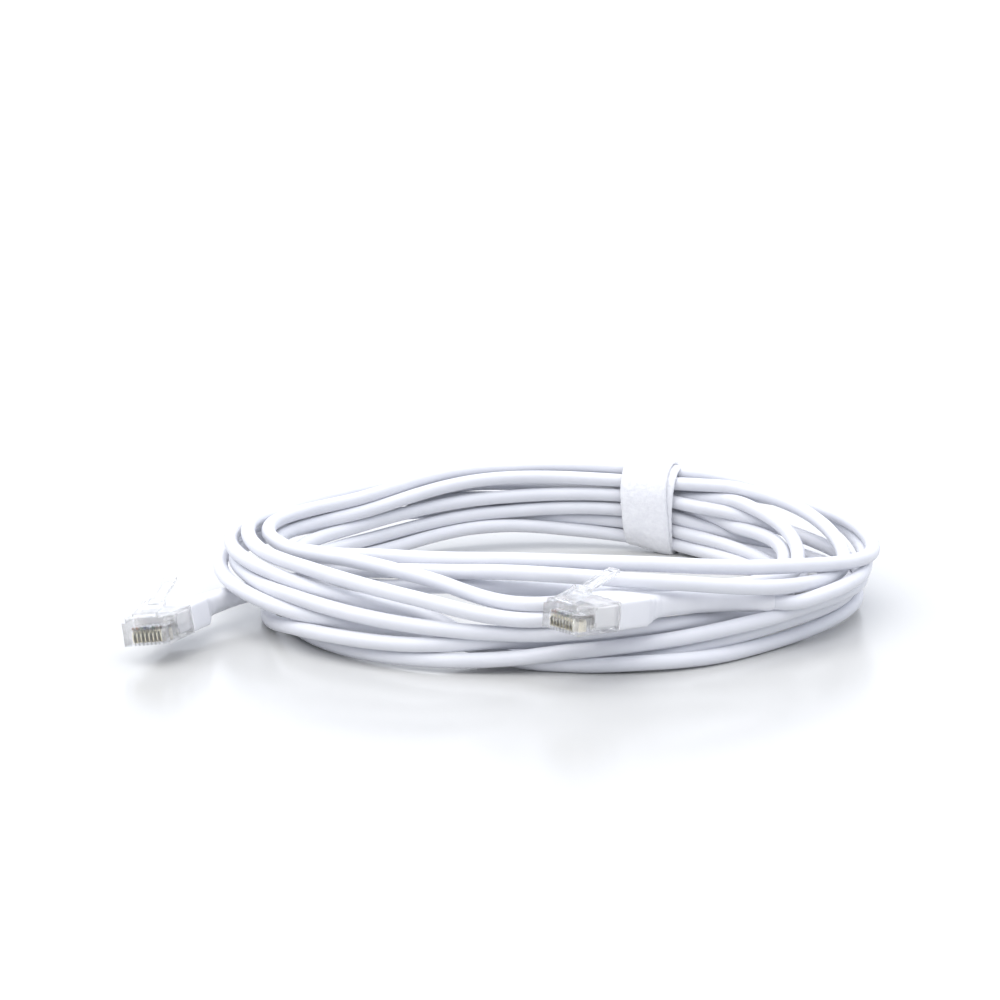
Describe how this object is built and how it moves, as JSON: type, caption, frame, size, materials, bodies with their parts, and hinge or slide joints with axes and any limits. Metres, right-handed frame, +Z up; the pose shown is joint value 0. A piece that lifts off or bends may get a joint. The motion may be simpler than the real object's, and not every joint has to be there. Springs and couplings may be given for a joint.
{
  "type": "ethernet patch cable",
  "caption": "Slim round network patch cable wound in a flat coil, held by a fabric hook-and-loop tie, with a clear latched 8P8C plug and moulded boot at each end.",
  "frame": {"origin": "centre of the part's bounding box, in the plane that it rests on", "axes": "+X along the longer side of the coil, +Y from the plugs' side to the tied side, +Z up"},
  "size_m": [0.1824, 0.147, 0.026],
  "materials": {
    "jacket": "satin soft PVC, smooth",
    "boot": "satin moulded soft PVC",
    "clear_shell": "clear polished polycarbonate",
    "wire_block": "plain moulded",
    "contact_gold": "gold-plated phosphor bronze, polished",
    "tie_fabric": "fuzzy loop pile, slightly frayed edges",
    "conductor_1": "white and orange insulation",
    "conductor_2": "orange insulation",
    "conductor_3": "white and green insulation",
    "conductor_4": "blue insulation",
    "conductor_5": "white and blue insulation",
    "conductor_6": "green insulation",
    "conductor_7": "white and brown insulation",
    "conductor_8": "brown insulation"
  },
  "bodies": {
    "cable": {"cable_coil": "jacket", "cable_lead_a": "jacket", "cable_lead_b": "jacket", "tie_band": "tie_fabric", "tie_flap": "tie_fabric", "plug_a_housing": "clear_shell", "plug_a_boot": "boot", "plug_a_wire_block": "wire_block", "plug_a_contact_1": "contact_gold", "plug_a_contact_2": "contact_gold", "plug_a_contact_3": "contact_gold", "plug_a_contact_4": "contact_gold", "plug_a_contact_5": "contact_gold", "plug_a_contact_6": "contact_gold", "plug_a_contact_7": "contact_gold", "plug_a_contact_8": "contact_gold", "plug_a_wire_1": "conductor_1", "plug_a_wire_2": "conductor_2", "plug_a_wire_3": "conductor_3", "plug_a_wire_4": "conductor_4", "plug_a_wire_5": "conductor_5", "plug_a_wire_6": "conductor_6", "plug_a_wire_7": "conductor_7", "plug_a_wire_8": "conductor_8", "plug_b_housing": "clear_shell", "plug_b_boot": "boot", "plug_b_wire_block": "wire_block", "plug_b_contact_1": "contact_gold", "plug_b_contact_2": "contact_gold", "plug_b_contact_3": "contact_gold", "plug_b_contact_4": "contact_gold", "plug_b_contact_5": "contact_gold", "plug_b_contact_6": "contact_gold", "plug_b_contact_7": "contact_gold", "plug_b_contact_8": "contact_gold", "plug_b_wire_1": "conductor_1", "plug_b_wire_2": "conductor_2", "plug_b_wire_3": "conductor_3", "plug_b_wire_4": "conductor_4", "plug_b_wire_5": "conductor_5", "plug_b_wire_6": "conductor_6", "plug_b_wire_7": "conductor_7", "plug_b_wire_8": "conductor_8"},
    "latch_a": {"plug_a_latch": "clear_shell"},
    "latch_b": {"plug_b_latch": "clear_shell"}
  },
  "joints": [
    {"name": "latch_a_press", "type": "hinge", "parent": "cable", "child": "latch_a", "pos_m": [-0.08541, -0.04856, 0.01166], "axis": [-0.9365, 0.3138, -0.1562], "range_deg": [0, 12], "stiffness_Nm_per_rad": 0.1},
    {"name": "latch_b_press", "type": "hinge", "parent": "cable", "child": "latch_b", "pos_m": [0.00939, -0.06816, 0.02031], "axis": [-0.6561, 0.7547, 0], "range_deg": [0, 12], "stiffness_Nm_per_rad": 0.1}
  ]
}
